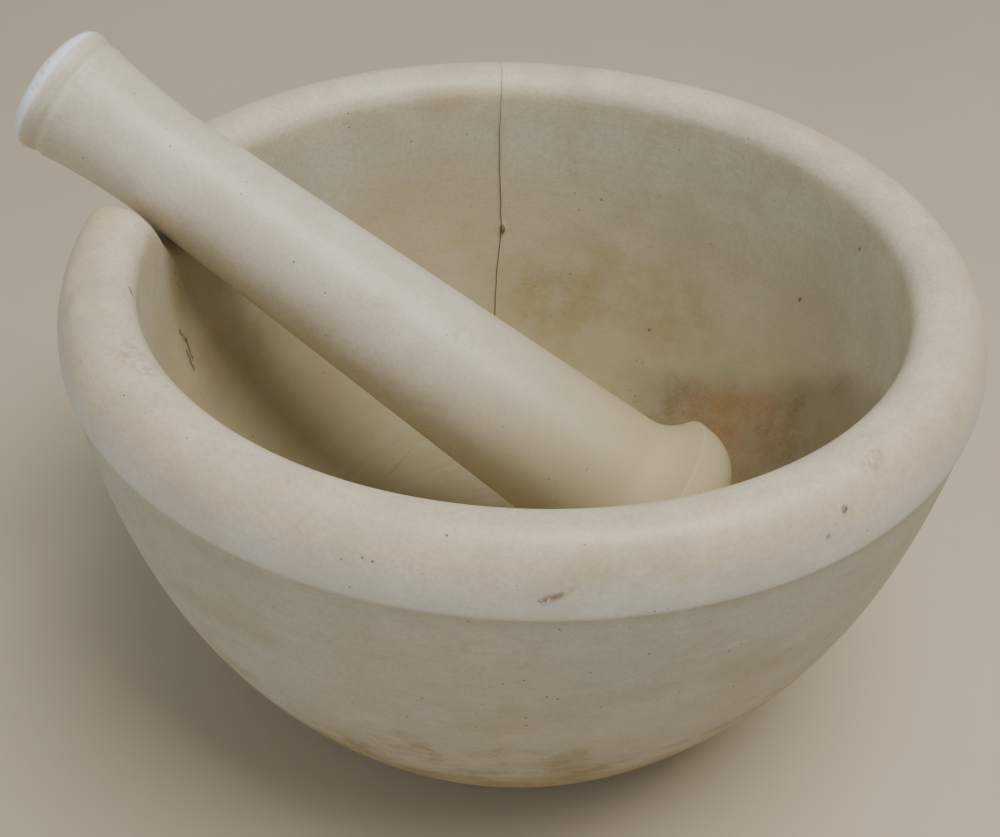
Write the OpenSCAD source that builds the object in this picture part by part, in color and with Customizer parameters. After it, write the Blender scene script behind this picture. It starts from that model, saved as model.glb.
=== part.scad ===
// Stoneware mortar and pestle: a thick-walled bowl with a pouring spout and a one-piece pestle resting in it.
// Millimetres, +Z up, origin at the centre of the bowl's flat underside, spout towards -X.

/* [Bowl outside] */
// height of the rim's crest above the table
bowl_height = 149.5; // [147:0.5:155]
// largest radius, at the bottom of the rim band
rim_radius = 130; // [129:0.5:133]
// height of the rounded rim band, from its lower edge to the crest
band_height = 18.4; // [16:0.2:22]
// small step where the body starts under the band
band_step = 0.6; // [0.2:0.1:1.5]
// radius of the flat foot
foot_radius = 73.7; // [66:0.5:80]
// radius of the rounding round the foot
foot_round = 3; // [1:0.5:5]
// how far out the lower belly is pulled
belly_low = 115.7; // [112:0.5:119]
// how far out the upper belly is pulled
belly_high = 124.9; // [122:0.5:127]

/* [Bowl inside] */
// radius of the crest, where the rim is highest
crest_radius = 118.5; // [116:0.5:120]
// radius of the bowl just inside the rim
mouth_radius = 108.1; // [107.5:0.1:110]
// depth of the rounding from the crest to the bowl's wall
mouth_round = 8.2; // [5:0.2:12]
// thickness of the bowl's floor
floor_thickness = 19; // [14:0.5:19]
// fullness of the bowl's curve: 2 is an ellipse, more is squarer
bowl_fullness = 2.4; // [2.4:0.05:2.6]

/* [Spout] */
// depth of the channel below the crest
spout_depth = 18; // [17:0.1:20]
// radius of the channel's hollow at its narrowest
spout_hollow = 28; // [24:0.5:32]
// radius of the shallow cut that softens its two shoulders
shoulder_radius = 52; // [50:1:60]
// depth of that shallow cut
shoulder_depth = 9; // [8.4:0.2:9]
// how far the spout stands out past the rim
spout_overhang = 2.5; // [1:0.5:4]

/* [Pestle] */
// length from the edge of the grinding face to the lip of the grip
pestle_length = 216.2; // [212:0.2:220]
// radius at the edge of the grinding face
head_radius = 33.2; // [30:0.2:33.2]
// height of the domed grinding face
head_dome = 22.9; // [18:0.1:23]
// length of the cove between head and shaft
cove_length = 14.2; // [10:0.2:18]
// shaft radius just above the head
shaft_low_radius = 24.6; // [22:0.2:25]
// shaft radius at its thinnest, near the grip's end
waist_radius = 16.9; // [15:0.1:17]
// radius of the lip round the grip's end
lip_radius = 20.1; // [18:0.1:20.2]
// height of the domed cap on the grip's end
cap_height = 7.75; // [5:0.25:9]

/* [Rest pose] */
// lean of the pestle above level
lean_angle = 31.7; // [31.7:0.1:32.3]
// turn of the leaning pestle about the upright axis
turn_angle = 2.1; // [1.5:0.1:2.7]
// head edge's centre, along the spout's line
head_x = 40.45; // [39:0.05:40.5]
// head edge's centre, to the side of the spout's line
head_y = 5.7; // [5:0.1:6.5]
// head edge's centre, above the table
head_z = 55.8; // [55.4:0.1:57]

/* [Hidden] */
step = 5;
round_steps = 9;
band_bottom = bowl_height - band_height;
round_height = band_height - 0.9;
under_radius = rim_radius - band_step;
mouth_height = bowl_height - mouth_round;
bowl_depth = mouth_height - floor_thickness;
flare_start = pestle_length - 34;
flare_end = pestle_length - 2.3;
flare_radius = lip_radius - 0.8;
lip_centre = 40;
wall_half = (rim_radius - mouth_radius) / 2 + 0.6;
saddle_x = -(rim_radius + mouth_radius) / 2;

// cubic curve through four pulls, for t from 0 to 1
function pull(a, b, c, d, t) =
    a * pow(1 - t, 3) + 3 * b * t * pow(1 - t, 2) + 3 * c * t * t * (1 - t) + d * pow(t, 3);

// quarter of an ellipse from a crest at (r0, z0) outwards by dr and down by dz
function quarter(r0, z0, dr, dz) =
    [for (i = [0 : round_steps]) [r0 + dr * sin(90 * i / round_steps), z0 - dz + dz * cos(90 * i / round_steps)]];

// belly line from the band down to the top of the foot's rounding
function belly() =
    [for (i = [0 : 20])
        let (t = 1 - i / 20, z = foot_round + (band_bottom - foot_round) * t)
        [pull(foot_radius, belly_low, belly_high, under_radius, z / band_bottom), z]];

// rounding from the belly to the flat underside
function foot_edge() =
    let (r = pull(foot_radius, belly_low, belly_high, under_radius, foot_round / band_bottom))
    [for (a = [15 : 15 : 90]) [r - foot_round * (1 - cos(a)), foot_round - foot_round * sin(a)]];

// bowl's inner line, a full curve from the floor's centre up to the mouth
function bowl_line() =
    [for (a = [0 : step : 90])
        [mouth_radius * pow(sin(a), 2 / bowl_fullness), mouth_height - bowl_depth * pow(cos(a), 2 / bowl_fullness)]];

// outer solid of the bowl, before it is hollowed
module bowl_blank() {
    rotate_extrude($fn = 96)
        polygon(concat(
            [[0, 0], [0, bowl_height]],
            quarter(crest_radius, bowl_height, rim_radius - crest_radius, round_height),
            [[rim_radius, band_bottom]],
            belly(),
            foot_edge()
        ));
}

// slight outward swelling of the rim round the spout
module spout_swelling() {
    reach = rim_radius + spout_overhang - lip_centre;
    translate([-lip_centre, 0, 0])
        rotate_extrude($fn = 96)
            polygon(concat(
                [[0, bowl_height - 48], [0, bowl_height - 0.4]],
                quarter(reach - 11, bowl_height - 0.4, 11, round_height),
                [[reach, band_bottom - 2], [reach - 9, bowl_height - 48]]
            ));
}

// the space inside the bowl, up to and past the crest
module bowl_space() {
    rotate_extrude($fn = 96)
        polygon(concat(
            bowl_line(),
            [for (i = [1 : round_steps])
                [crest_radius - (crest_radius - mouth_radius) * cos(90 * i / round_steps),
                 mouth_height + mouth_round * sin(90 * i / round_steps)]],
            [[crest_radius, bowl_height + 10], [0, bowl_height + 10]]
        ));
}

// saddle-shaped cutter: a spool lying along the spout, narrowest over the middle of the wall
module spool(waist, depth, ends) {
    translate([saddle_x, 0, bowl_height - depth + waist])
        rotate([0, 90, 0])
            rotate_extrude($fn = 96)
                polygon(concat(
                    [[0, -wall_half - ends], [waist + 14, -wall_half - ends]],
                    [for (i = [-6 : 6])
                        [waist + 14 * (1 - cos(15 * i)), wall_half * sin(15 * i)]],
                    [[waist + 14, wall_half + ends], [0, wall_half + ends]]
                ));
}

module mortar() {
    color([0.86, 0.82, 0.73])
        difference() {
            union() {
                bowl_blank();
                spout_swelling();
            }
            bowl_space();
            spool(spout_hollow, spout_depth, 14);
            spool(shoulder_radius, shoulder_depth, 9);
        }
}

// half outline of the pestle, standing on its head, edge of the grinding face at height 0
function pestle_line() = concat(
    [for (a = [90 : -7.5 : 7.5]) [head_radius * cos(a), -head_dome * pow(sin(a), 0.67)]],
    [for (i = [0 : 8])
        [shaft_low_radius + (head_radius - shaft_low_radius) * pow(1 - i / 8, 2.2), cove_length * i / 8]],
    [for (i = [0 : 8])
        let (t = i / 8)
        [waist_radius + (flare_radius - waist_radius) * t * t, flare_start + (flare_end - 3 - flare_start) * t]],
    [for (i = [1 : 3])
        [flare_radius - 0.6 * sin(60 * i), flare_end - 3 + i]],
    [for (a = [0 : 9 : 90])
        [lip_radius * cos(a), pestle_length + cap_height * pow(sin(a), 0.77)]]
);

module pestle() {
    color([0.90, 0.87, 0.80])
        translate([head_x, head_y, head_z])
            rotate([0, 0, turn_angle])
                rotate([0, lean_angle - 90, 0])
                    rotate_extrude($fn = 72)
                        polygon(pestle_line());
}

mortar();
pestle();
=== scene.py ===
# %% [markdown]
# # A stoneware mortar and pestle
#
# Two pieces of unglazed, vitreous cream stoneware: a heavy bowl with a rounded rim band and a pouring
# spout, and a one-piece pestle that leans in the spout with its head down in the bowl. Both are bodies
# turned about an axis, so both are built here as a profile swept round, with everything that isn't round
# (spout, crack, chips, waviness) added to the swept points by formula.

import bpy
import numpy as np
from mathutils import Matrix, Vector


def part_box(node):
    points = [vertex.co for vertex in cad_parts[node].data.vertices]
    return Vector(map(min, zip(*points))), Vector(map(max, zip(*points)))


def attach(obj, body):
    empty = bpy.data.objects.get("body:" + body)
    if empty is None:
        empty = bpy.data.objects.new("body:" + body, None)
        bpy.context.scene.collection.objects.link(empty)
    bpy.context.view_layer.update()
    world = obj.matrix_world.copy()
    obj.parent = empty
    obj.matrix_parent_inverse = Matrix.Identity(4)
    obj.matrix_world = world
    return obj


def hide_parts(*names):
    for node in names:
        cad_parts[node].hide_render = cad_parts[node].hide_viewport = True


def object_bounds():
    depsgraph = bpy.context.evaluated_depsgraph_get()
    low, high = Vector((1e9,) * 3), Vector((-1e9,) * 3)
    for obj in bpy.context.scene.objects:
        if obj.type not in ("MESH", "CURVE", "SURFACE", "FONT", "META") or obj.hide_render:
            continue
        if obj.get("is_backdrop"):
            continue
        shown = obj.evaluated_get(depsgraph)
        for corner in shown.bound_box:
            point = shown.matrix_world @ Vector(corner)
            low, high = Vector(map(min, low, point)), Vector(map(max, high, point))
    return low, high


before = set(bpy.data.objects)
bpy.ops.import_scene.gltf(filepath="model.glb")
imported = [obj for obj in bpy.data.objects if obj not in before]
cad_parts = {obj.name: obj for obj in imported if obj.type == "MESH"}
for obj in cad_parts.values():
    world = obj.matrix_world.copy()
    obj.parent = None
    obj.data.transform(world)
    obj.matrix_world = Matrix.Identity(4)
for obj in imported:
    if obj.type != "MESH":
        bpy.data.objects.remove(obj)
MM = 0.001
cad_low, cad_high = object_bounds()
mortar_low, mortar_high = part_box("mortar")
pestle_low, pestle_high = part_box("pestle")
print("whole part, mm:", [round(v / MM, 1) for v in (*cad_low, *cad_high)])
print("mortar, mm:", [round(v / MM, 1) for v in (*mortar_low, *mortar_high)])
print("pestle, mm:", [round(v / MM, 1) for v in (*pestle_low, *pestle_high)])

# %% [markdown]
# ## Where it is seen from
#
# The bowl is looked down into from close by, about 38 degrees above level and a little to the spout's side
# of the front. At this distance the near rim is clearly larger than the far one, so the camera stands 42 cm
# away instead of using a long lens. It is rolled by just over two degrees, as a hand-held camera is.

# %% Camera
CAMERA_PLACE = Vector((0.0885, -0.3192, 0.3470))
CAMERA_AIM = Vector((-0.0035, -0.0066, 0.0884))
CAMERA_ROLL = 2.38
FOCAL_MM = 48.8


def camera_looking(place, aim, roll_degrees, focal):
    """A camera at place, looking along aim - place, turned about its own line of sight by roll_degrees."""
    data = bpy.data.cameras.new("camera")
    data.lens = focal
    data.sensor_width = 36.0
    data.clip_start = 0.01
    camera = bpy.data.objects.new("camera", data)
    bpy.context.scene.collection.objects.link(camera)
    upright = (aim - place).to_track_quat("-Z", "Y").to_matrix().to_4x4()
    roll = Matrix.Rotation(np.radians(roll_degrees), 4, "Z")
    camera.matrix_world = Matrix.Translation(place) @ upright @ roll
    return camera


camera = camera_looking(CAMERA_PLACE, CAMERA_AIM, CAMERA_ROLL, FOCAL_MM)
bpy.context.scene.camera = camera

# %% [markdown]
# ## Swept surfaces
#
# A turned piece is one closed grid: rows follow the profile from the axis out and back to the axis, columns
# go round. Columns needn't be evenly spaced, so they are gathered where a narrow detail needs them.


# %% Grid surface
def smoothstep(edge0, edge1, x):
    """0 below edge0, 1 above edge1, and 3t^2 - 2t^3 between, where t is the share of the way."""
    t = np.clip((x - edge0) / (edge1 - edge0), 0, 1)
    return t * t * (3 - 2 * t)


def bell(x, centre, width):
    """exp(-((x - centre) / width)^2), a smooth bump of height 1."""
    return np.exp(-(((x - centre) / width) ** 2))


def resample(points, density):
    """Points along a polyline, spaced so that each step's length times density is the same.

    points is (n, 2), and density(r, z) gives how many points per mm are wanted there."""
    share = np.linspace(0, 1, 60, endpoint=False)[:, None]
    fine = [a + (b - a) * share for a, b in zip(points[:-1], points[1:])]
    fine = np.vstack(fine + [points[-1:]])
    step = np.linalg.norm(np.diff(fine, axis=0), axis=1)
    middle = (fine[1:] + fine[:-1]) / 2
    weight = np.concatenate([[0], np.cumsum(step * density(middle[:, 0], middle[:, 1]))])
    count = int(round(weight[-1]))
    wanted = np.linspace(0, weight[-1], count + 1)
    return np.stack([np.interp(wanted, weight, fine[:, k]) for k in (0, 1)], axis=1)


def columns(count, crowding):
    """count angles round a circle whose spacing is inversely proportional to crowding(angle in degrees)."""
    fine = np.linspace(0, 360, 72001)
    share = np.concatenate([[0], np.cumsum((crowding(fine[1:]) + crowding(fine[:-1])) / 2)])
    return np.interp(np.arange(count) / count * share[-1], share, fine)


def closed_grid(name, grid, first_pole, last_pole):
    """A closed mesh object from grid (rows, columns, 3) in mm and a point for each end.

    Neighbouring rows and columns make quads, the last column joins the first, and each end is a fan to its
    point."""
    rows, cols = grid.shape[:2]
    points = np.vstack([grid.reshape(-1, 3), [first_pole], [last_pole]]) * MM
    row = np.arange(rows - 1)[:, None] * cols
    col = np.arange(cols)[None, :]
    after = (col + 1) % cols
    quads = np.stack([row + col, row + cols + col, row + cols + after, row + after], axis=-1).reshape(-1, 4)
    first, last = rows * cols, rows * cols + 1
    end = (rows - 1) * cols
    fan_a = np.stack([np.full(cols, first), col[0], after[0]], axis=-1)
    fan_b = np.stack([np.full(cols, last), end + after[0], end + col[0]], axis=-1)
    loops = np.concatenate([fan_a.ravel(), quads.ravel(), fan_b.ravel()]).astype(np.int32)
    sizes = np.concatenate([np.full(cols, 3), np.full(len(quads), 4), np.full(cols, 3)])
    mesh = bpy.data.meshes.new(name)
    mesh.vertices.add(len(points))
    mesh.vertices.foreach_set("co", points.astype(np.float32).ravel())
    mesh.loops.add(len(loops))
    mesh.loops.foreach_set("vertex_index", loops)
    mesh.polygons.add(len(sizes))
    mesh.polygons.foreach_set("loop_start", np.concatenate([[0], np.cumsum(sizes)[:-1]]).astype(np.int32))
    mesh.polygons.foreach_set("use_smooth", np.ones(len(sizes), dtype=bool))
    mesh.update(calc_edges=True)
    mesh.validate()
    piece = bpy.data.objects.new(name, mesh)
    bpy.context.scene.collection.objects.link(piece)
    triangles = 2 * len(quads) + 2 * cols
    print(f"{name}: {rows} rows by {cols} columns, {triangles} triangles")
    return piece


def outward(grid):
    """Unit normals of a grid (rows, columns, 3), from the cross product of its row and column differences."""
    along = np.gradient(grid, axis=0)
    ring = (np.roll(grid, -1, axis=1) - np.roll(grid, 1, axis=1)) / 2
    normal = np.cross(ring, along)
    return normal / np.maximum(np.linalg.norm(normal, axis=2, keepdims=True), 1e-9)


def point_value(piece, name, values):
    """Store one number per point of a piece, for its material to read by name."""
    attribute = piece.data.attributes.new(name, "FLOAT", "POINT")
    attribute.data.foreach_set("value", np.asarray(values, dtype=np.float32).ravel())


# %% [markdown]
# ## The mortar's profile
#
# The wall is about 22 mm thick all the way down. Inside, the bowl is a slightly squared ellipse, steep at
# the mouth and round at the bottom. The rim rolls over in two quarter ellipses that meet at the crest.
# Outside, the rolled band ends in a small step, and the belly below follows one cubic curve down to the
# foot. The step is a fine detail that catches the light all round the bowl, so it is a soft S curve 2.4 mm
# tall instead of a sharp corner.

# %% Profile
CREST = np.array([118.5, mortar_high[2] / MM])
RIM_R = mortar_high[0] / MM - 0.1
BAND_Z, BAND_ROLL = 131.1, 17.5
MOUTH_R, MOUTH_Z = 108.1, 141.3
FLOOR_Z, FULLNESS = 19.0, 2.4
BELLY = np.array([73.7, 115.7, 124.9, 129.3])
FOOT_ROUND = 3.0


def belly_radius(z):
    """Cubic curve through four pulls, from the foot (z = 0) to just under the band."""
    t = z / BAND_Z
    weights = np.stack([(1 - t) ** 3, 3 * t * (1 - t) ** 2, 3 * t * t * (1 - t), t**3], axis=-1)
    return weights @ BELLY


def mortar_profile():
    """(radius, height) from the middle of the floor, up, over the rim, down outside and in under the foot."""
    a = np.radians(np.arange(1.5, 90.1, 1.5))
    inner = np.stack([MOUTH_R * np.sin(a) ** (2 / FULLNESS),
                      MOUTH_Z - (MOUTH_Z - FLOOR_Z) * np.cos(a) ** (2 / FULLNESS)], axis=1)
    b = np.radians(np.arange(6, 91, 6.0))
    mouth = np.stack([CREST[0] - (CREST[0] - MOUTH_R) * np.cos(b),
                      MOUTH_Z + (CREST[1] - MOUTH_Z) * np.sin(b)], axis=1)
    band = np.stack([CREST[0] + (RIM_R - CREST[0]) * np.sin(b),
                     CREST[1] - BAND_ROLL * (1 - np.cos(b))], axis=1)
    z = BAND_Z + np.linspace(0.6, -1.6, 9)
    step_out = (RIM_R - belly_radius(z)) * smoothstep(-1.6, 0.8, z - BAND_Z)
    corner = np.stack([belly_radius(z) + step_out, z], axis=1)
    z = np.linspace(BAND_Z - 2.2, FOOT_ROUND, 60)
    belly = np.stack([belly_radius(z), z], axis=1)
    d = np.radians(np.arange(15, 91, 15.0))
    foot = np.stack([belly_radius(np.array(FOOT_ROUND)) - FOOT_ROUND * (1 - np.cos(d)),
                     FOOT_ROUND - FOOT_ROUND * np.sin(d)], axis=1)
    under = np.array([[60.0, 0], [30.0, 0.0], [2.0, 0.0]])
    return np.vstack([inner, mouth, band, corner, belly, foot, under])


def row_density(r, z):
    """Rows per mm along the profile: fine at the rim, the step, the foot and the chip in the crack."""
    fine = 0.36 + 0.30 * smoothstep(135, 142, z)
    fine = fine + 1.6 * bell(z, 131.0, 1.6) * (r > 120)
    fine = fine + 1.3 * bell(z, 92.2, 2.4) * (r < 106)
    fine = fine + 0.7 * bell(z, 1.5, 3.0) * (r > 66)
    return np.where((z < 0.01) & (r < 66), 0.06, fine)


profile = resample(mortar_profile(), row_density)
print("mortar profile:", len(profile), "rows, from", profile[0].round(1), "to", profile[-1].round(1))

# %% [markdown]
# ## The spout and the hand-made surface
#
# The spout was pressed into the soft rim: the whole rolled rim dips by nearly 19 mm over a width of about
# 50 mm, keeps its round section, and swells outwards by 2 mm. A cut by a second solid would leave sharp
# edges where the clay has none. So the dip is applied to the swept points as a lowering that fades out down
# the wall, which keeps the rim's roll intact all the way through the spout. Three slow waves round the
# bowl, none of them over a quarter of a millimetre, take away the look of a perfect lathe.

# %% Crack's path and columns
CRACK_DEGREES = 111.2
MORTAR_COLUMNS = 560


def crack_angle(z):
    """The crack's angle round the bowl in degrees at height z: a nearly straight line with small kinks."""
    heights = [0, 50, 75, 92, 118, 129, 150]
    angles = [112.4, 112.4, 111.6, 110.65, 111.3, 111.5, 111.3]
    wobble = 0.035 * np.sin(z * 1.9) + 0.03 * np.sin(z * 0.83 + 1.0)
    return np.interp(z, heights, angles) + wobble


def crowding(angle):
    """How closely columns stand: 14 times closer at the crack, and a little closer round the spout."""
    return 1 + 13 * bell(angle, CRACK_DEGREES, 0.75) + 0.5 * bell(angle, 180, 16)


angles = columns(MORTAR_COLUMNS, crowding)
crack_spacing = np.radians(np.diff(angles).min()) * MOUTH_R
print("crack's columns stand", round(float(crack_spacing), 3), "mm apart")

# %% Mortar points
SPOUT_DEPTH, SPOUT_HALF = 18.65, 19.0
SWELL, SWELL_HALF = 2.2, 34
r, z = profile[:, :1], profile[:, 1:]
inside = (np.arange(len(profile)) < np.argmax(profile[:, 1]))[:, None]
# The crowded columns lean with the crack, so that the same columns follow it all the way down.
lean = (crack_angle(z) - CRACK_DEGREES) * bell(angles[None, :], CRACK_DEGREES, 3.0)
theta = np.radians(angles[None, :] + lean)
y_side = r * np.sin(theta)
spout_half = np.cos(theta) < 0
at_spout = np.where(spout_half, np.exp(-((np.abs(y_side) / SPOUT_HALF) ** 4.5)), 0)
fade = np.where(inside, smoothstep(84, 141, z), smoothstep(92, 136, z))
dip = SPOUT_DEPTH * at_spout * fade
swell = SWELL * np.where(spout_half, bell(y_side, 0, SWELL_HALF), 0) * smoothstep(96, 140, z) * ~inside
wavy = 0.22 * np.sin(2 * theta + 0.6) + 0.13 * np.sin(3 * theta + 2.0) + 0.06 * np.sin(7 * theta + z * 0.05)
wavy = (wavy - 0.38) * smoothstep(6, 40, z)
uneven_rim = 0.16 * (np.sin(2 * theta + 1.2) - 1) * smoothstep(120, 149, z)
height = z - dip + uneven_rim
radius = r + swell + wavy
mortar_grid = np.stack([radius * np.cos(theta), radius * np.sin(theta), height], axis=-1)
print("spout dips", round(float(dip.max()), 2), "mm, wall swells", round(float(swell.max()), 2), "mm")

# %% [markdown]
# ## The crack, the chip and wear at the foot
#
# A hairline crack runs down the far wall from the rim, nearly straight, and passes through a small chip. A
# painted line would lie flat in raking light, so it is a real groove here: the columns crowd together round
# it, about ten of them to a millimetre, and its points are pushed in against the surface's own normal. The
# foot's edge has lost a few small flakes, at places drawn by a seeded random generator.

# %% Crack, chip and foot chips
CHIP_Z, NICK_Z, FLAKE_Z = 92.1, 148.8, 1.2
CRACK_HALF, CRACK_DEPTH, CHIP_DEPTH, NICK_DEPTH, FLAKE_DEPTH = 0.14, 0.75, 0.8, 0.35, 0.55
mortar_normal = outward(mortar_grid)
across = np.radians(angles[None, :] + lean - crack_angle(z)) * r
down_to = np.where(inside, smoothstep(50, 66, z), smoothstep(96, 128, z))
hairline = bell(across, 0, CRACK_HALF) * down_to * (1 - 0.45 * smoothstep(118, 148, z))
chip = np.exp(-(((across + 0.45) / 1.0) ** 2 + ((z - CHIP_Z) / 1.9) ** 2) ** 1.5) * inside
nick = 0.45 * bell(across, 0, 1.0) * bell(z, NICK_Z, 1.2)
depth = CRACK_DEPTH * hairline + CHIP_DEPTH * chip + NICK_DEPTH * nick
rng = np.random.default_rng(7)
for place, size in zip(rng.uniform(0, 360, 9), rng.uniform(1.2, 3.0, 9)):
    gap = (np.degrees(theta) - place + 180) % 360 - 180
    around = np.radians(gap) * r
    depth = depth + FLAKE_DEPTH * bell(around, 0, size) * bell(z, FLAKE_Z, 1.6) * (~inside) * (r > 60)
mortar_grid = mortar_grid - mortar_normal * depth[..., None]
mortar_grid[..., 2] = np.clip(mortar_grid[..., 2], 0, CREST[1])
mortar = closed_grid("mortar", mortar_grid, [0, 0, FLOOR_Z], [0, 0, 0])

at_poles = [0.0, 0.0]
point_value(mortar, "crack", np.append(np.clip(hairline, 0, 1), at_poles))
point_value(mortar, "chip", np.append(np.clip(chip + 0.5 * nick, 0, 1), at_poles))
point_value(mortar, "inside", np.append(smoothstep(120, 113, r) * inside + 0 * theta, [1.0, 0.0]))
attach(mortar, "mortar")
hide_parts("mortar")

# %% [markdown]
# ## The pestle
#
# One solid piece, turned on a lathe while leather-hard: a domed grinding face with a distinct edge, a cove
# up to the shaft, a shaft that tapers steadily to a waist, a flare, a shallow groove, and a rounded lip
# under a domed cap. The same grid is swept about its own axis and then laid in its leaning place.

# %% Pestle profile
HEAD_R, HEAD_DOME, COVE = 33.2, 22.9, 14.2
SHAFT_R, WAIST_R, LIP_R = 24.6, 16.9, 20.1
LENGTH, CAP = 216.2, 7.75
FLARE_Z, FLARE_R = 182.2, 19.3
HEAD_PLACE = np.array([40.45, 5.7, 55.8])
LEAN, TURN = np.radians(31.7), np.radians(2.1)


def pestle_profile():
    """(radius, height above the grinding face's edge) from the face's middle to the cap's middle."""
    a = np.radians(np.arange(87, 1, -3.0))
    face = np.stack([HEAD_R * np.cos(a), -HEAD_DOME * np.sin(a) ** 0.67], axis=1)
    t = np.linspace(0, 1, 16)
    cove = np.stack([SHAFT_R + (HEAD_R - SHAFT_R) * (1 - t) ** 2.2, COVE * t], axis=1)
    t = np.linspace(0, 1, 24)[1:]
    shaft = np.stack([SHAFT_R + (WAIST_R - SHAFT_R) * t, COVE + (FLARE_Z - COVE) * t], axis=1)
    flare_top = LENGTH - 5.3
    flare = np.stack([WAIST_R + (FLARE_R - WAIST_R) * t**2, FLARE_Z + (flare_top - FLARE_Z) * t], axis=1)
    g = np.linspace(0, 1, 7)[1:]
    groove = np.stack([FLARE_R - 0.45 * np.sin(np.pi * g) + 0.2 * g, flare_top + 3.0 * g], axis=1)
    a = np.radians(np.arange(0, 89, 4.0))
    lip = np.stack([LIP_R * np.cos(a), LENGTH + CAP * np.sin(a) ** 0.77], axis=1)
    return np.vstack([face, cove, shaft, flare, groove, lip])


def pestle_density(r, h):
    """Rows per mm: fine at the head's edge, the groove and the lip."""
    return 0.55 + 1.6 * bell(h, 0, 2.2) * (r > 25) + 1.5 * bell(h, 213, 4.5) + 0.5 * bell(h, 222, 4)


spine = resample(pestle_profile(), pestle_density)
print("pestle profile:", len(spine), "rows,", round(LENGTH + HEAD_DOME + CAP, 1), "mm long")

# %% Pestle points
PESTLE_COLUMNS = 380
# angle about the axis, distance along it in mm, and size in mm, of the small chips on the cap's edge
CAP_CHIPS = ((28.0, 219.0, 1.0), (40.0, 220.5, 0.8), (23.0, 219.6, 0.7), (75, 218.6, 0.9), (52, 221.0, 0.6))
axis = np.array([-np.cos(LEAN) * np.cos(TURN), -np.cos(LEAN) * np.sin(TURN), np.sin(LEAN)])
side = np.array([np.sin(TURN), -np.cos(TURN), 0.0])
upper = np.cross(axis, side)
around = np.linspace(0, 2 * np.pi, PESTLE_COLUMNS, endpoint=False)[None, :]
pr, ph = spine[:, :1], spine[:, 1:]
uneven = 0.10 * np.sin(2 * around + ph * 0.011) + 0.05 * np.sin(3 * around + 1.3 + ph * 0.02) - 0.12
radius = pr + uneven * smoothstep(0, 20, pr)
pestle_grid = (HEAD_PLACE + ph[..., None] * axis
               + (radius * np.cos(around))[..., None] * side + (radius * np.sin(around))[..., None] * upper)
chips = np.zeros_like(radius)
for place, distance, size in CAP_CHIPS:
    gap = (np.degrees(around) - place + 180) % 360 - 180
    chips = chips + 0.5 * bell(np.radians(gap) * pr, 0, size) * bell(ph, distance, 0.7 * size)
pestle_grid = pestle_grid - outward(pestle_grid) * chips[..., None]
pestle = closed_grid("pestle", pestle_grid, HEAD_PLACE - HEAD_DOME * axis, HEAD_PLACE + (LENGTH + CAP) * axis)
point_value(pestle, "along", np.append(ph + 0 * around, [-HEAD_DOME, LENGTH + CAP]))
point_value(pestle, "chips", np.append(np.clip(chips * 2, 0, 1), [0, 0]))
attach(pestle, "pestle")
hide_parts("pestle")

# %% [markdown]
# ## Small helpers for the finishes
#
# Each finish is a chain of masks and mixes. Wired by hand in the shader editor, it would be hundreds of
# clicks and hard to read. These helpers keep the chains short: one makes a node and fills its sockets, one
# does arithmetic, one gives cloudy noise, and one turns a band of numbers into a mask from 0 to 1.


# %% Numbers and masks
class NodeMaker:
    """A material and its node tree, with one-line ways to add numbers and masks to it."""

    def __init__(self, name):
        self.material = bpy.data.materials.new(name)
        self.material.use_nodes = True
        self.tree = self.material.node_tree
        self.tree.nodes.clear()
        self.where = self.node("ShaderNodeTexCoord").outputs["Object"]

    def node(self, kind, settings=(), **inputs):
        """A node of this kind; settings are its properties, and inputs are values or sockets by name."""
        made = self.tree.nodes.new(kind)
        for key, value in dict(settings).items():
            setattr(made, key, value)
        for key, value in inputs.items():
            self.put(made.inputs[key.replace("_", " ")], value)
        return made

    def put(self, socket, value):
        """Link value to a socket if it is a socket, or store it there."""
        if isinstance(value, bpy.types.NodeSocket):
            self.tree.links.new(value, socket)
        else:
            socket.default_value = value

    def math(self, operation, a, b=0.0, clamp=False):
        """One arithmetic step on two numbers."""
        made = self.tree.nodes.new("ShaderNodeMath")
        made.operation = operation
        made.use_clamp = clamp
        self.put(made.inputs[0], a)
        self.put(made.inputs[1], b)
        return made.outputs[0]

    def times(self, a, b):
        """One number times another, which is also how two masks are joined."""
        return self.math("MULTIPLY", a, b)

    def value(self, name):
        """A number stored on the piece's points."""
        return self.node("ShaderNodeAttribute", {"attribute_name": name}).outputs["Fac"]

    def stretched(self, scale, shift=(0, 0, 0)):
        """Coordinates multiplied by scale along each axis, and shifted."""
        made = self.node("ShaderNodeMapping", Vector=self.where, Scale=scale, Location=shift)
        return made.outputs["Vector"]

    def noise(self, scale, detail=4.0, roughness=0.55, vector=None):
        """Cloudy noise, 0 to 1; scale is features per metre."""
        made = self.node("ShaderNodeTexNoise", Scale=scale, Detail=detail, Roughness=roughness)
        self.put(made.inputs["Vector"], vector or self.where)
        return made.outputs["Fac"]

    def band(self, value, low, high, to_low=0.0, to_high=1.0):
        """Smooth ramp of value from low to high, giving to_low to to_high."""
        made = self.node("ShaderNodeMapRange", {"interpolation_type": "SMOOTHSTEP"})
        for name, number in (("Value", value), ("From Min", low), ("From Max", high),
                             ("To Min", to_low), ("To Max", to_high)):
            self.put(made.inputs[name], number)
        return made.outputs["Result"]

    def vector(self, operation, a, b):
        """One vector step; gives the number output for dot product and distance."""
        made = self.tree.nodes.new("ShaderNodeVectorMath")
        made.operation = operation
        self.put(made.inputs[0], a)
        self.put(made.inputs[1], b)
        return made.outputs["Value"] if operation in ("DOT_PRODUCT", "DISTANCE") else made.outputs[0]


# %% [markdown]
# ## Marks, layers and the surface
#
# The second half of the helpers works with colours and with places on the piece. A finish keeps the colour
# mixed so far, and lays each new colour over it through a mask, as a glaze is brushed on. Spots and strokes
# are measured from points in the piece's own coordinates, so they stay where they are on the clay when the
# piece moves.


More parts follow.
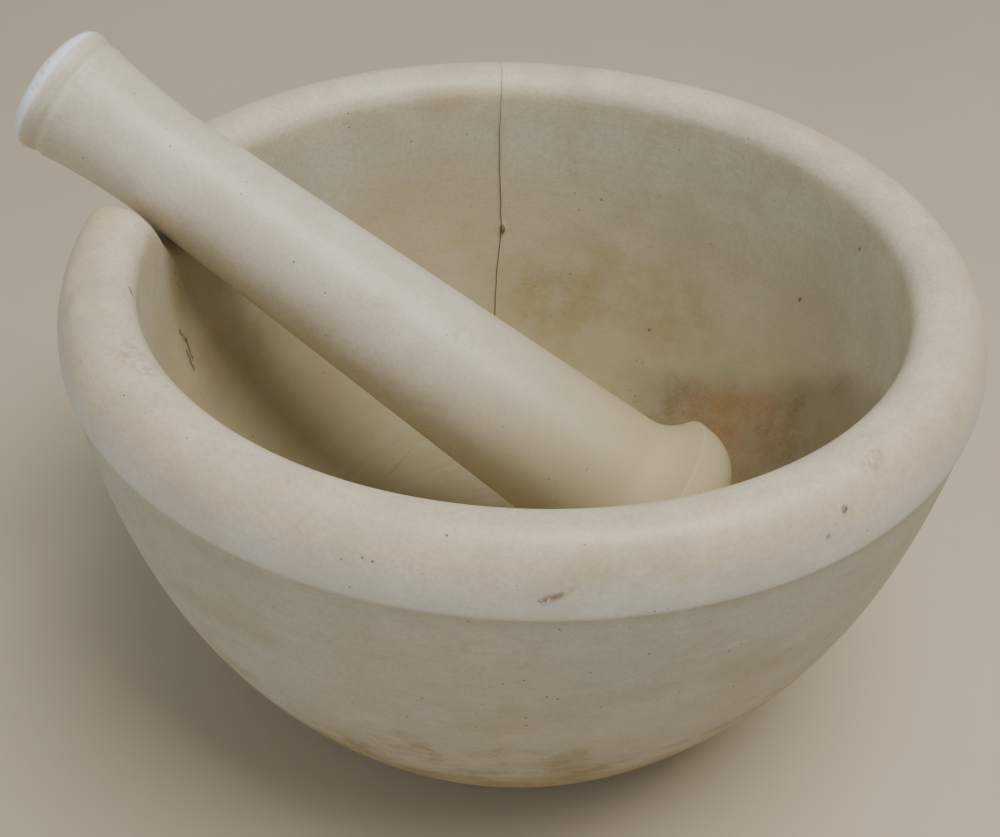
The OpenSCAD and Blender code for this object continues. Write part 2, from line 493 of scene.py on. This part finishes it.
# %% Layers and strokes
def around_bowl(degrees, height, radius):
    """A point in metres from its angle round the bowl, and its height and radius in mm."""
    a = np.radians(degrees)
    return (radius * np.cos(a) * MM, radius * np.sin(a) * MM, height * MM)


class Finish(NodeMaker):
    """A material whose colour is built up in layers; colour holds the layers so far."""

    colour = None

    def mix(self, mask, a, b):
        """Colour a where mask is 0, b where it is 1."""
        made = self.tree.nodes.new("ShaderNodeMix")
        made.data_type = "RGBA"
        self.put(made.inputs[0], mask)
        self.put(made.inputs[6], (*a, 1) if isinstance(a, tuple) else a)
        self.put(made.inputs[7], (*b, 1) if isinstance(b, tuple) else b)
        return made.outputs[2]

    def over(self, mask, strength, colour):
        """Lay colour over the colour so far, as thickly as mask times strength."""
        self.colour = self.mix(self.times(mask, strength), self.colour, colour)

    def near(self, place, far, close):
        """Mask round a place in metres: 0 from far away, 1 within close."""
        return self.band(self.vector("DISTANCE", self.where, place), far, close)

    def specks(self, per_metre, size, share, seed):
        """Small round spots: a cell pattern's near centres, kept only in the given share of its cells."""
        where = self.stretched((1, 1, 1), shift=(seed, seed * 0.7, seed * 0.3))
        cells = self.node("ShaderNodeTexVoronoi", {"feature": "F1"}, Vector=where, Scale=per_metre)
        centres = self.band(cells.outputs["Distance"], size, size * 0.45)
        pick = self.node("ShaderNodeSeparateColor", Color=cells.outputs["Color"]).outputs["Red"]
        return self.times(centres, self.math("LESS_THAN", pick, share))

    def stroke(self, start, end, width):
        """A soft line between two points in metres: 1 on the line, 0 from width away."""
        start, end = Vector(start), Vector(end)
        run = end - start
        from_start = self.vector("SUBTRACT", self.where, tuple(start))
        dot = self.vector("DOT_PRODUCT", from_start, tuple(run))
        share = self.math("DIVIDE", dot, run.length_squared, clamp=True)
        along = self.tree.nodes.new("ShaderNodeVectorMath")
        along.operation = "SCALE"
        along.inputs[0].default_value = run
        self.put(along.inputs["Scale"], share)
        away = self.vector("DISTANCE", from_start, along.outputs[0])
        return self.band(away, width, width * 0.35)

    def strokes(self, *lines):
        """Several strokes as one mask: each is two places as for around_bowl, and a width in metres."""
        mask = 0.0
        for start, end, width in lines:
            mask = self.math("MAXIMUM", mask, self.stroke(around_bowl(*start), around_bowl(*end), width))
        return mask

    def finish(self, roughness, bump, strength, distance, **extra):
        """Close the chain with a surface shader; bump is a height, distance metres deep at full strength."""
        lift = self.node("ShaderNodeBump", Height=bump, Strength=strength, Distance=distance)
        shader = self.node("ShaderNodeBsdfPrincipled", Normal=lift.outputs["Normal"], Roughness=roughness)
        self.put(shader.inputs["Base Color"], self.colour)
        for key, number in extra.items():
            self.put(shader.inputs[key.replace("_", " ")], number)
        output = self.node("ShaderNodeOutputMaterial")
        self.tree.links.new(shader.outputs["BSDF"], output.inputs["Surface"])
        return self.material


# %% [markdown]
# ## The mortar's finish: the bare body
#
# Vitreous stoneware is dense and cream, with a faint sheen where hands have polished the rim. The belly is
# greyer and duller, and it keeps faint level turning lines from the wheel. Part of the belly's darker, cooler
# grey is painted shade and painted cool light from the front, and the lower edge of the rim band outside is a
# painted highlight. A painted picture could hold all this, but it would have to be unwrapped and would blur
# close by. Layers of noise stay sharp at any distance, so the colour is laid on in layers, in the order in
# which the real one came about: body, turning lines, stains, deposit, marks, specks.

# %% Bare body, with painted shade on the belly and a painted highlight on the band's edge
# The belly's grey is its own duller tone, and partly painted shade and painted cool light; the band's white
# is a painted highlight.
RIM_CREAM, BELLY_GREY_AND_SHADE, BAND_HIGHLIGHT = (0.625, 0.52, 0.365), (0.475, 0.455, 0.40), (0.645, 0.615, 0.565)
m = Finish("mortar_stoneware")
mx, my, mz = m.node("ShaderNodeSeparateXYZ", Vector=m.where).outputs
is_inside = m.value("inside")
is_outside = m.math("SUBTRACT", 1.0, is_inside)
cloud = m.noise(14, 5, 0.6)
fine = m.noise(160, 4, 0.6)
mottle = m.noise(55, 6, 0.72, m.stretched((1, 1, 1), shift=(0.9, 0.2, 0.4)))
m.colour = m.mix(m.band(mz, 0.127, 0.144), BELLY_GREY_AND_SHADE, RIM_CREAM)
# Painted highlight: the outside of the rim band's lower part is made paler and cooler where it catches the
# light.
band_edge_highlight = m.times(m.times(m.band(mz, 0.1300, 0.1318), m.band(mz, 0.1440, 0.1335)), is_outside)
m.over(band_edge_highlight, 0.72, BAND_HIGHLIGHT)
m.over(m.band(cloud, 0.35, 0.7), 0.40, (0.53, 0.445, 0.30))
blush = m.noise(34, 5, 0.7, m.stretched((1, 1, 1.4), shift=(0.6, 0.4, 0.7)))
m.over(m.times(m.band(blush, 0.50, 0.68), m.band(mz, 0.120, 0.136)), 0.45, (0.60, 0.455, 0.295))
spout_nose = m.near(around_bowl(-168.2, 146, 121), 0.020, 0.004)
m.over(spout_nose, 0.45, (0.56, 0.425, 0.24))

# %% Turning lines and smudges
lines = m.noise(1.0, 6, 0.7, m.stretched((9, 9, 420)))
m.over(m.band(lines, 0.42, 0.62), m.band(mz, 0.134, 0.128, 0.04, 0.13), (0.33, 0.30, 0.235))
smudge = m.noise(26, 5, 0.65, m.stretched((1, 1, 1.8), shift=(0.3, 0, 0)))
m.over(m.band(smudge, 0.50, 0.70), 0.46, (0.34, 0.31, 0.215))

# %% [markdown]
# ## Stains inside
#
# Whatever was ground has soaked in: a pale olive wash all over, darker with depth because the bowl was
# never filled to the rim. Height alone would draw a hard level ring, so a slow noise is added to the height
# before it is turned into a mask. Larger single stains are soft balls at their places on the wall, broken
# up by the mottling.

# %% Wash and depth
PALE_WASH, DARK_WASH = (0.585, 0.53, 0.385), (0.45, 0.39, 0.225)
wash = m.mix(m.band(m.noise(11, 4, 0.6, m.stretched((1, 1, 0.6))), 0.35, 0.65), PALE_WASH, DARK_WASH)
wandering_height = m.math("ADD", mz, m.times(m.math("SUBTRACT", cloud, 0.5), 0.06))
deep = m.band(wandering_height, 0.155, 0.035)
soaked = m.math("MULTIPLY", is_inside, m.math("ADD", m.times(deep, 0.78), 0.22), clamp=True)
m.over(soaked, 1.0, wash)
m.over(m.times(m.band(mz, 0.100, 0.132), is_inside), 0.45, (0.66, 0.605, 0.48))
m.over(m.times(m.band(wandering_height, 0.100, 0.050), is_inside), 0.70, (0.28, 0.235, 0.105))
olive = m.noise(24, 5, 0.66, m.stretched((1, 1, 1.9), shift=(0.1, 0.7, 0.2)))
olive = m.times(m.band(olive, 0.46, 0.66), m.times(is_inside, m.band(mz, 0.138, 0.075)))
m.over(olive, 0.42, (0.29, 0.24, 0.11))

# %% Single stains
# angle round the bowl, height and radius in mm, reach in metres, strength, colour
STAINS = ((124, 92, 104, 0.048, 0.55, (0.44, 0.335, 0.165)),
          (150, 80, 100, 0.040, 0.45, (0.40, 0.31, 0.15)),
          (97, 69, 95, 0.030, 0.80, (0.275, 0.215, 0.085)),
          (71, 73, 96, 0.028, 0.70, (0.30, 0.235, 0.105)),
          (41, 93, 103, 0.040, 0.40, (0.38, 0.32, 0.16)),
          (190, 96, 104, 0.050, 0.55, (0.40, 0.305, 0.14)),
          (122, 143, 111, 0.016, 0.40, (0.47, 0.335, 0.17)))
patches = m.band(mottle, 0.36, 0.60, 0.35, 1.0)
for degrees, stain_height, stain_radius, stain_reach, strength, tint in STAINS:
    spread = m.near(around_bowl(degrees, stain_height, stain_radius), stain_reach, stain_reach * 0.25)
    m.over(m.times(spread, m.times(is_inside, patches)), strength, tint)
print(len(STAINS), "single stains inside")

# %% [markdown]
# ## Rubbed rings and the deposit
#
# The pestle goes round and round, so low down it has rubbed rings through the stain. They are noise sampled
# by radius and height, with only a little of the angle, which draws it out into arcs. Where the head works,
# on the side away from the spout, an orange-brown deposit has dried with a level upper edge, like a tide
# mark that climbs outwards.

# %% Rubbed rings
reach_out = m.math("SQRT", m.math("ADD", m.times(mx, mx), m.times(my, my)))
round_angle = m.math("ARCTAN2", my, mx)
drawn_out = m.node("ShaderNodeCombineXYZ")
for socket, number, scale in zip(drawn_out.inputs, (reach_out, mz, round_angle), (420.0, 420.0, 1.6)):
    m.put(socket, m.times(number, scale))
rings = m.band(m.noise(1.0, 4, 0.7, drawn_out.outputs[0]), 0.48, 0.62)
m.over(m.times(rings, m.times(is_inside, m.band(mz, 0.060, 0.030))), 0.30, (0.46, 0.41, 0.28))

# %% Deposit
climb = m.times(m.math("POWER", m.math("MAXIMUM", mx, 0.0), 3.0), 49.6)
ragged = m.times(m.math("SUBTRACT", m.noise(45, 5, 0.6), 0.5), 0.012)
tide = m.math("ADD", m.math("SUBTRACT", mz, climb), ragged)
head_side = m.times(m.band(mx, 0.008, 0.040), m.band(mx, 0.108, 0.078, 0.45, 1.0))
deposit = m.times(m.band(tide, 0.0575, 0.0490), m.times(is_inside, head_side))
orange = m.times(m.near(around_bowl(43, 57, 88), 0.034, 0.008), m.band(mottle, 0.32, 0.52, 0.45, 1.0))
rusty = m.mix(orange, (0.170, 0.128, 0.058), (0.255, 0.143, 0.054))
m.over(m.times(deposit, m.band(tide, 0.010, 0.045, 0.70, 1.0)), 0.84, rusty)
crumbs = m.band(m.noise(95, 5, 0.7, m.stretched((1, 1, 1), shift=(0.2, 0.5, 0.1))), 0.60, 0.74)
m.over(m.times(deposit, crumbs), 0.6, (0.115, 0.100, 0.035))

# %% [markdown]
# ## Stains outside
#
# The bowl has stood in wet and dust, so ochre has crept up from the foot and ends in ragged blots. The same
# trick again: noise is added to the height, here a stronger one, and finer blots fill the fringe. Faint tan
# patches show higher up, all round.

# %% Stains outside
low_noise = m.noise(30, 6, 0.72, m.stretched((1, 1, 2.0)))
low = m.math("ADD", mz, m.times(m.math("SUBTRACT", low_noise, 0.5), 0.10))
m.over(m.times(m.band(low, 0.064, 0.036), is_outside), 0.66, (0.335, 0.25, 0.095))
blots = m.noise(62, 7, 0.78, m.stretched((1, 1, 1.5), shift=(0.2, 0.9, 0.4)))
fringe = m.times(is_outside, m.band(low, 0.078, 0.048))
m.over(m.times(m.band(blots, 0.44, 0.62), fringe), 0.66, (0.235, 0.165, 0.055))
tan = m.noise(42, 6, 0.7, m.stretched((1, 1, 2.0), shift=(0.5, 0.3, 0.8)))
m.over(m.times(m.band(tan, 0.56, 0.74), is_outside), 0.30, (0.35, 0.27, 0.145))

# %% Mottling
m.over(m.band(mottle, 0.60, 0.40), 0.28, (0.38, 0.335, 0.225))
m.over(m.band(m.noise(800, 4, 0.75), 0.56, 0.42), 0.22, (0.31, 0.28, 0.21))
# The painted highlight on the band's lower edge, laid on again over the mottling.
m.over(band_edge_highlight, 0.40, (0.64, 0.60, 0.58))

# %% [markdown]
# ## Marks
#
# An old mortar has a history: scratches at the mouth, a black scuff inside near the spout, a faint second
# hairline low down, a rust mark on the rim, pits and worn places on the crest. Each is a short soft line
# between two points on the wall, or a speck, and for the scuff, the rust, the worn places and the pits a fine
# noise breaks it up so that it isn't a neat stroke.

# %% Scratches, scuff and rust
INK, RUST = (0.10, 0.075, 0.045), (0.13, 0.05, 0.02)
scratches = m.strokes(((-149.2, 145.4, 109.4), (-148.0, 144.3, 108.8), 0.0006),
                      ((-24.9, 138.6, 129.1), (-24.0, 137.4, 129.4), 0.0005))
scuff = m.strokes(((-169.6, 104.6, 105.5), (-170.6, 99.5, 104.7), 0.0013),
                  ((-170.6, 99.5, 104.7), (-170.2, 93.5, 103.3), 0.0008),
                  ((-169.3, 97.5, 104.1), (-169.0, 91.0, 102.6), 0.0012))
scuff = m.times(scuff, m.band(m.noise(620, 4, 0.75), 0.40, 0.52))
second_hairline = m.strokes(((158.5, 29.9, 55.2), (149.0, 31.0, 57.5), 0.00035),
                            ((149.0, 31.0, 57.5), (139.8, 32.9, 61.0), 0.00035))
rust = m.strokes(((-71.2, 136.9, 129.5), (-69.4, 138.6, 129.2), 0.0017),
                 ((-69.4, 138.6, 129.2), (-67.8, 140.2, 128.8), 0.0013))
rust = m.times(rust, m.band(m.noise(620, 4, 0.8), 0.40, 0.50))
worn = m.strokes(((-132, 149.0, 115.5), (-127.5, 148.4, 113.2), 0.0055),
                 ((-33.0, 148.4, 122.5), (-31.0, 149.2, 121.0), 0.0035))
worn = m.times(worn, m.band(m.noise(330, 4, 0.8), 0.45, 0.60))

# %% Pits
# angle round the bowl, height and radius in mm, and size
PITS = ((-38.2, 144.1, 126.8, 1.0), (-37.6, 145.4, 126.0, 0.5),
        (-39.7, 142.0, 127.9, 0.5), (-40.8, 139.9, 128.8, 0.8),
        (91, 106, 105.7, 0.6), (44, 101, 105.0, 0.8), (33, 132, 108.0, 0.7), (75, 66, 92.0, 0.6))
pits = m.times(m.specks(420, 0.17, 0.10, 1.3), m.band(m.noise(20, 2), 0.42, 0.62))
pits = m.math("MAXIMUM", pits, m.specks(190, 0.060, 0.11, 4.1))
for degrees, pit_height, pit_radius, size in PITS:
    hollow = m.near(around_bowl(degrees, pit_height, pit_radius), size * MM * 1.5, size * MM * 0.8)
    pits = m.math("MAXIMUM", pits, m.times(hollow, m.band(m.noise(1500, 3, 0.7), 0.44, 0.49)))
print(len(PITS), "single pits, and two sizes of scattered ones")

# %% Marks over the stains
m.over(worn, 0.5, (0.27, 0.205, 0.125))
m.over(scratches, 0.85, INK)
m.over(scuff, 0.85, INK)
m.over(second_hairline, 0.38, (0.20, 0.11, 0.04))
m.over(rust, 0.9, RUST)
m.over(pits, 0.85, INK)
m.over(m.band(m.value("chip"), 0.15, 0.6), 0.88, (0.14, 0.10, 0.05))
m.over(m.band(m.value("crack"), 0.12, 0.75), 0.9, (0.075, 0.055, 0.035))

# %% [markdown]
# ## Sheen and grain
#
# Hands polish the rim, so roughness falls towards it, and it wanders a little with the clouds. The grain is
# a bump map rather than real relief: it is well under a tenth of a millimetre, far below the grid's
# spacing.

# %% Roughness and grain
polish = m.band(mz, 0.125, 0.146, 0.62, 0.44)
rough = m.math("ADD", polish, m.times(m.math("SUBTRACT", cloud, 0.5), 0.18))
grain = m.math("ADD", m.times(fine, 0.6), m.times(m.noise(900, 3, 0.6), 0.25))
grain = m.math("ADD", grain, m.times(lines, 0.35))
grain = m.math("SUBTRACT", grain, m.times(pits, 0.8))
mortar.data.materials.append(m.finish(rough, grain, 0.35, 0.0006, Specular_IOR_Level=0.42))
print("mortar finish:", len(m.tree.nodes), "nodes")

# %% [markdown]
# ## The pestle's finish
#
# The same stoneware, lighter and smoother because it is handled. The cap is whiter and has a real gloss.
# The head is worn matt and tinted by what was ground. The tint fades along the pestle's own length, so the
# mesh carries that length on its points: it stays right however the pestle leans. The underside, below the
# axis, is painted darker and more olive: that is painted shade, where the light from above doesn't reach.

# %% Pestle body, tints and painted shade underneath
PALE_CREAM, WARM_CREAM, CAP_WHITE = (0.645, 0.585, 0.48), (0.57, 0.50, 0.37), (0.80, 0.82, 0.85)
p = Finish("pestle_stoneware")
along = p.value("along")
cloud = p.noise(22, 5, 0.6)
drift = p.math("SUBTRACT", cloud, 0.5)
p.colour = p.mix(p.times(p.band(cloud, 0.35, 0.7), 0.5), PALE_CREAM, WARM_CREAM)
p.over(p.band(p.math("ADD", along, p.times(drift, 60.0)), 105, 10), 0.95, (0.43, 0.36, 0.20))
# Painted shade: the pestle's side below its axis is darkened and made more olive, as the light from above
# leaves it.
pestle_height = p.node("ShaderNodeSeparateXYZ", Vector=p.where).outputs[2]
axis_height = p.math("ADD", 0.0558, p.times(along, 0.000525))
shade_below_axis = p.math("ADD", p.math("SUBTRACT", pestle_height, axis_height), p.times(drift, 0.02))
p.over(p.band(shade_below_axis, 0.006, -0.020), 0.22, (0.48, 0.42, 0.245))
smear = p.noise(30, 6, 0.7, p.stretched((1, 1, 2)))
p.over(p.band(smear, 0.55, 0.75), 0.4, (0.43, 0.35, 0.20))
mottle = p.noise(60, 6, 0.72, p.stretched((1, 1, 1), shift=(0.4, 0.1, 0.6)))
p.over(p.band(mottle, 0.62, 0.36), 0.26, (0.42, 0.355, 0.23))
p.over(p.band(p.noise(800, 4, 0.75), 0.56, 0.42), 0.20, (0.36, 0.315, 0.235))
cap_mask = p.band(along, 216.9, 218.4)
p.over(cap_mask, 1.0, CAP_WHITE)


# %% Pestle marks
def on_shaft(degrees, distance, thickness):
    """A point in metres from its angle about the pestle's axis, and its mm along it and away from it."""
    a = np.radians(degrees)
    return tuple((HEAD_PLACE + distance * axis + thickness * (np.cos(a) * side + np.sin(a) * upper)) * MM)


def shaft_radius(distance):
    """Radius in mm of the tapering shaft, in proportion to the way from the cove to the flare."""
    return SHAFT_R + (WAIST_R - SHAFT_R) * (distance - COVE) / (FLARE_Z - COVE)


pits = p.math("MAXIMUM", p.specks(380, 0.14, 0.08, 2.2), p.specks(170, 0.052, 0.10, 7.7))
# angle about the axis, distance along it and from it, and size, in mm
PESTLE_PITS = ((35.3, 132.7, shaft_radius(132.7), 0.6),
               (29.4, 120.2, shaft_radius(120.2), 0.5),
               (28.6, 215.0, 19.0, 0.5))
for degrees, distance, thickness, size in PESTLE_PITS:
    spot = on_shaft(degrees, distance, thickness)
    pits = p.math("MAXIMUM", pits, p.near(spot, size * MM * 0.8, size * MM * 0.4))
from_ring = p.vector("DISTANCE", p.where, on_shaft(67.1, 79, 21.6))
ring = p.math("ABSOLUTE", p.math("SUBTRACT", from_ring, 0.0030))
ring = p.times(p.band(ring, 0.0014, 0.0003), p.band(p.noise(260, 3, 0.6), 0.42, 0.58))
p.over(ring, 0.45, (0.46, 0.34, 0.14))
p.over(pits, 0.7, (0.12, 0.09, 0.05))
p.over(p.value("chips"), 0.5, (0.60, 0.58, 0.55))

# %% Pestle sheen and grain
rough = p.math("SUBTRACT", p.band(along, 8, 40, 0.62, 0.42), p.times(cap_mask, 0.24))
grain = p.math("ADD", p.times(p.noise(140, 4, 0.6), 0.6), p.times(p.noise(800, 3, 0.6), 0.25))
grain = p.math("SUBTRACT", grain, p.times(pits, 0.8))
pestle.data.materials.append(p.finish(rough, grain, 0.25, 0.0005, Specular_IOR_Level=0.45))
print("pestle finish:", len(p.tree.nodes), "nodes")

# %% [markdown]
# ## Table and light
#
# A plain pale table top, one large soft light above the bowl and a little to the right, a weaker, broad and
# cooler one low at the front left, and a pale room all round. The main light leaves a soft shadow of the
# pestle on the bowl's left wall.

# %% Floor
FLOOR_HALF = 6.0
corners = [(x * FLOOR_HALF, y * FLOOR_HALF, 0) for x, y in ((-1, -1), (1, -1), (1, 1), (-1, 1))]
floor_mesh = bpy.data.meshes.new("floor")
floor_mesh.from_pydata(corners, [], [(0, 1, 2, 3)])
floor = bpy.data.objects.new("floor", floor_mesh)
bpy.context.scene.collection.objects.link(floor)
floor.location.z = -0.0002
f = Finish("floor")
f.colour = f.mix(f.band(f.noise(3, 4, 0.5), 0.3, 0.7), (0.50, 0.43, 0.315), (0.46, 0.395, 0.285))
floor.data.materials.append(f.finish(0.8, f.noise(200, 3, 0.5), 0.05, 0.0005))
floor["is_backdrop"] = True


# %% Lights
def soft_light(name, place, aim, width, watts, colour):
    """A square area light at place, facing aim, width metres across."""
    data = bpy.data.lights.new(name, "AREA")
    data.size = width
    data.energy = watts
    data.color = colour
    light = bpy.data.objects.new(name, data)
    bpy.context.scene.collection.objects.link(light)
    light.location = place
    light.rotation_euler = (Vector(aim) - Vector(place)).to_track_quat("-Z", "Y").to_euler()
    return light


BOWL_MIDDLE = (0, 0, 0.08)
soft_light("window", (0.38, -0.12, 1.30), BOWL_MIDDLE, 0.75, 18.5, (1.0, 0.965, 0.90))
soft_light("front", (-0.9, -1.5, 0.75), BOWL_MIDDLE, 1.2, 6, (0.84, 0.92, 1.0))
world = bpy.data.worlds.new("room")
bpy.context.scene.world = world
world.use_nodes = True
room = world.node_tree.nodes["Background"].inputs
room["Color"].default_value = (0.90, 0.94, 0.96, 1)
room["Strength"].default_value = 0.42

# %% Sizes
seen_low, seen_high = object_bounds()
text = "CAD box mm: " + " ".join(f"{v / MM:.2f}" for v in (*cad_low, *cad_high)) + "\n"
text += "visual box mm: " + " ".join(f"{v / MM:.2f}" for v in (*seen_low, *seen_high)) + "\n"
print(text)
